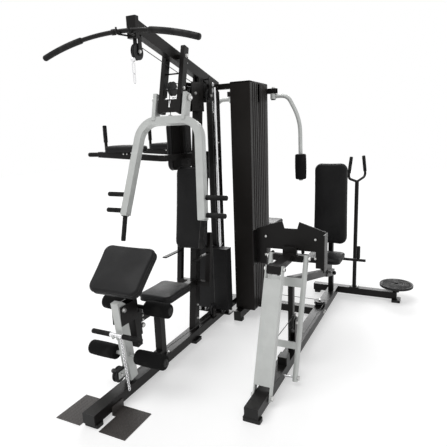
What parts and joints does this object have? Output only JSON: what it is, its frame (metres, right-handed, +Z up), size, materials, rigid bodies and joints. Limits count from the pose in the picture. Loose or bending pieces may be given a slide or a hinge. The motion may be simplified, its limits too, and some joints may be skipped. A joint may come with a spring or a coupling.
{
  "type": "multi station home gym",
  "caption": "Free-standing home gym: weight tower with lat bar, press arm, seat and leg developer, leg press, knee raise and butterfly stations.",
  "frame": {"origin": "on the floor, at the centre of the sole under the main upright", "axes": "+Z up, -Y towards the user at the front station, +X towards the leg press (the machine's right, seen from the front)"},
  "size_m": [2.203, 2.571, 2.1445],
  "materials": {
    "frame_coat": "textured powder coat",
    "silver_coat": "satin silver paint",
    "cover_coat": "satin sheet steel",
    "plate_coat": "matt",
    "chrome": "polished",
    "zinc": "zinc plated",
    "tread": "chequer plate",
    "vinyl": "soft vinyl over foam",
    "foam": "closed cell foam",
    "grip": "ribbed",
    "pulley_plastic": "nylon",
    "cap_plastic": "moulded",
    "cable_jacket": "nylon jacket"
  },
  "bodies": {
    "frame": {"back_station_frame": "frame_coat", "backrest_supports": "frame_coat", "base_rails": "frame_coat", "boom_bracket": "frame_coat", "feet_and_end_caps": "cap_plastic", "foot_plates": "tread", "front_pads": "vinyl", "front_stack_run": "cable_jacket", "guide_rods_and_axles": "chrome", "handle_post": "frame_coat", "knee_raise_frame": "frame_coat", "leg_press_cable": "cable_jacket", "leg_press_frame": "frame_coat", "main_upright": "frame_coat", "pulley_brackets": "frame_coat", "rear_beam": "frame_coat", "rear_upright": "frame_coat", "resting_plates": "plate_coat", "seat_frame": "frame_coat", "side_stack_cover": "cover_coat", "side_stack_run": "cable_jacket", "snap_hooks": "chrome", "stack_bases": "frame_coat", "station_pads": "vinyl", "top_boom": "frame_coat", "top_cross_beam": "frame_coat", "tower_cables": "cable_jacket"},
    "press_arm": {"press_arm": "silver_coat", "press_grips": "grip"},
    "leg_developer": {"leg_developer": "silver_coat", "lower_rollers": "foam", "developer_cable": "cable_jacket"},
    "preacher": {"preacher_post": "frame_coat", "preacher_pad": "vinyl"},
    "preacher_knob": {"preacher_knob": "zinc"},
    "curl_bar": {"curl_bar": "chrome"},
    "lat_bar": {"lat_bar": "grip"},
    "front_stack": {"front_stack_plates": "plate_coat"},
    "front_selector_pin": {"front_selector_pin": "chrome"},
    "side_stack": {"side_stack_plates": "plate_coat"},
    "leg_front_lever": {"leg_front_lever": "silver_coat"},
    "leg_rear_lever": {"leg_rear_lever": "silver_coat"},
    "footplate": {"footplate": "frame_coat"},
    "leg_seat": {"leg_seat_carriage": "frame_coat", "leg_seat_pads": "vinyl"},
    "butterfly_right": {"butterfly_arm_right": "silver_coat"},
    "butterfly_left": {"butterfly_arm_left": "silver_coat"},
    "back_seat": {"back_seat": "vinyl"},
    "twister_disc": {"twister_disc": "cap_plastic"},
    "corner_pulley": {"corner_pulley": "pulley_plastic"},
    "developer_pulley": {"developer_pulley": "pulley_plastic"},
    "front_pulley": {"front_pulley": "pulley_plastic"},
    "gusset_pulley": {"gusset_pulley": "pulley_plastic"},
    "leg_low_pulley": {"leg_low_pulley": "pulley_plastic"},
    "leg_mid_pulley": {"leg_mid_pulley": "pulley_plastic"},
    "press_pulley": {"press_pulley": "pulley_plastic"},
    "rail_pulley": {"rail_pulley": "pulley_plastic"},
    "side_low_pulley": {"side_low_pulley": "pulley_plastic"},
    "side_top_pulley": {"side_top_pulley": "pulley_plastic"},
    "stack_pulleys": {"stack_pulleys": "pulley_plastic"}
  },
  "joints": [
    {"name": "press_arm_swing", "type": "hinge", "parent": "frame", "child": "press_arm", "pos_m": [0, -0.09589, 1.71977], "axis": [-1, 0, 0], "range_deg": [0, 50]},
    {"name": "developer_swing", "type": "hinge", "parent": "frame", "child": "leg_developer", "pos_m": [0, -0.774, 0.545], "axis": [-1, 0, 0], "range_deg": [0, 80], "stiffness_Nm_per_rad": 5, "springref_deg": -40.11},
    {"name": "curl_bar_lift", "type": "slide", "parent": "leg_developer", "child": "curl_bar", "axis": [0, 0, 1], "range_m": [0, 0.06]},
    {"name": "lat_bar_lift", "type": "slide", "parent": "frame", "child": "lat_bar", "axis": [0, 0, 1], "range_m": [0, 0.08]},
    {"name": "preacher_height", "type": "slide", "parent": "frame", "child": "preacher", "axis": [0, -0.0872, 0.9962], "range_m": [0, 0.12]},
    {"name": "preacher_knob_turn", "type": "hinge", "parent": "frame", "child": "preacher_knob", "pos_m": [0, -0.64194, 0.365], "axis": [0, 1, 0], "continuous": true},
    {"name": "front_stack_lift", "type": "slide", "parent": "frame", "child": "front_stack", "axis": [0, 0, 1], "range_m": [0, 0.42], "deforming": ["front_stack_run"]},
    {"name": "front_selector_pull", "type": "slide", "parent": "front_stack", "child": "front_selector_pin", "axis": [0, -1, 0], "range_m": [0, 0.11]},
    {"name": "side_stack_lift", "type": "slide", "parent": "frame", "child": "side_stack", "axis": [0, 0, 1], "range_m": [0, 0.42], "deforming": ["side_stack_run"]},
    {"name": "leg_front_lever_swing", "type": "hinge", "parent": "frame", "child": "leg_front_lever", "pos_m": [0.762, -0.54, 0.052], "axis": [1, 0, 0], "range_deg": [0, 38.5]},
    {"name": "leg_rear_lever_swing", "type": "hinge", "parent": "frame", "child": "leg_rear_lever", "pos_m": [0.762, -0.285, 0.052], "axis": [1, 0, 0], "range_deg": [0, 38.5]},
    {"name": "footplate_pivot", "type": "hinge", "parent": "leg_front_lever", "child": "footplate", "pos_m": [0.762, -0.31, 0.724], "axis": [-1, 0, 0], "range_deg": [0, 38.5]},
    {"name": "leg_seat_slide", "type": "slide", "parent": "frame", "child": "leg_seat", "axis": [0, -0.969, 0.247], "range_m": [-0.02, 0.25]},
    {"name": "butterfly_right_swing", "type": "hinge", "parent": "frame", "child": "butterfly_right", "pos_m": [0.335, 0.905, 1.768], "axis": [0, 0, 1], "range_deg": [0, 100]},
    {"name": "butterfly_left_swing", "type": "hinge", "parent": "frame", "child": "butterfly_left", "pos_m": [-0.035, 0.905, 1.768], "axis": [0, 0, -1], "range_deg": [0, 100]},
    {"name": "back_seat_height", "type": "slide", "parent": "frame", "child": "back_seat", "axis": [0, 0, -1], "range_m": [0, 0.15]},
    {"name": "twister_spin", "type": "hinge", "parent": "frame", "child": "twister_disc", "pos_m": [1.297, 1.33, 0.158], "axis": [0, 0, 1], "continuous": true},
    {"name": "front_pulley_spin", "type": "hinge", "parent": "frame", "child": "front_pulley", "pos_m": [0, -0.434, 1.95943], "axis": [1, 0, 0], "range_deg": [0, 588.93]},
    {"name": "stack_pulleys_spin", "type": "hinge", "parent": "frame", "child": "stack_pulleys", "pos_m": [0, 0.341, 1.76045], "axis": [1, 0, 0], "range_deg": [0, 588.93]},
    {"name": "press_pulley_spin", "type": "hinge", "parent": "frame", "child": "press_pulley", "pos_m": [0, -0.07948, 1.78369], "axis": [1, 0, 0], "continuous": true},
    {"name": "gusset_pulley_spin", "type": "hinge", "parent": "frame", "child": "gusset_pulley", "pos_m": [0, 0.165, 1.77], "axis": [1, 0, 0], "continuous": true},
    {"name": "rail_pulley_spin", "type": "hinge", "parent": "frame", "child": "rail_pulley", "pos_m": [0.044, 0.259, 0.15], "axis": [0.9989, -0.047, 0], "continuous": true},
    {"name": "developer_pulley_spin", "type": "hinge", "parent": "leg_developer", "child": "developer_pulley", "pos_m": [0, -0.822, 0.172], "axis": [1, 0, 0], "continuous": true},
    {"name": "side_top_pulley_spin", "type": "hinge", "parent": "frame", "child": "side_top_pulley", "pos_m": [0.2, 0.764, 1.716], "axis": [1, 0, 0], "range_deg": [-302.8, 0]},
    {"name": "side_low_pulley_spin", "type": "hinge", "parent": "frame", "child": "side_low_pulley", "pos_m": [0.241, 0.844, 0.149], "axis": [0, 1, 0], "range_deg": [-588.93, 0]},
    {"name": "corner_pulley_spin", "type": "hinge", "parent": "frame", "child": "corner_pulley", "pos_m": [0.754, 0.803, 0.108], "axis": [0, 0, 1], "range_deg": [-588.93, 0]},
    {"name": "leg_low_pulley_spin", "type": "hinge", "parent": "frame", "child": "leg_low_pulley", "pos_m": [0.795, 0.017, 0.149], "axis": [1, 0, 0], "range_deg": [-588.93, 0]},
    {"name": "leg_mid_pulley_spin", "type": "hinge", "parent": "frame", "child": "leg_mid_pulley", "pos_m": [0.795, -0.065, 0.3], "axis": [1, 0, 0], "range_deg": [0, 588.93]}
  ],
  "couplings": [
    {"joint": "front_pulley_spin", "follows": "front_stack_lift", "rad_per_m": 24.39},
    {"joint": "stack_pulleys_spin", "follows": "front_stack_lift", "rad_per_m": 24.39},
    {"joint": "side_top_pulley_spin", "follows": "side_stack_lift", "rad_per_m": -12.5},
    {"joint": "side_low_pulley_spin", "follows": "side_stack_lift", "rad_per_m": -24.39},
    {"joint": "corner_pulley_spin", "follows": "side_stack_lift", "rad_per_m": -24.39},
    {"joint": "leg_low_pulley_spin", "follows": "side_stack_lift", "rad_per_m": -24.39},
    {"joint": "leg_mid_pulley_spin", "follows": "side_stack_lift", "rad_per_m": 24.39},
    {"joint": "leg_front_lever_swing", "follows": "side_stack_lift", "rad_per_m": 1.5791},
    {"joint": "leg_rear_lever_swing", "follows": "side_stack_lift", "rad_per_m": 1.5791},
    {"joint": "footplate_pivot", "follows": "side_stack_lift", "rad_per_m": 1.5791}
  ]
}
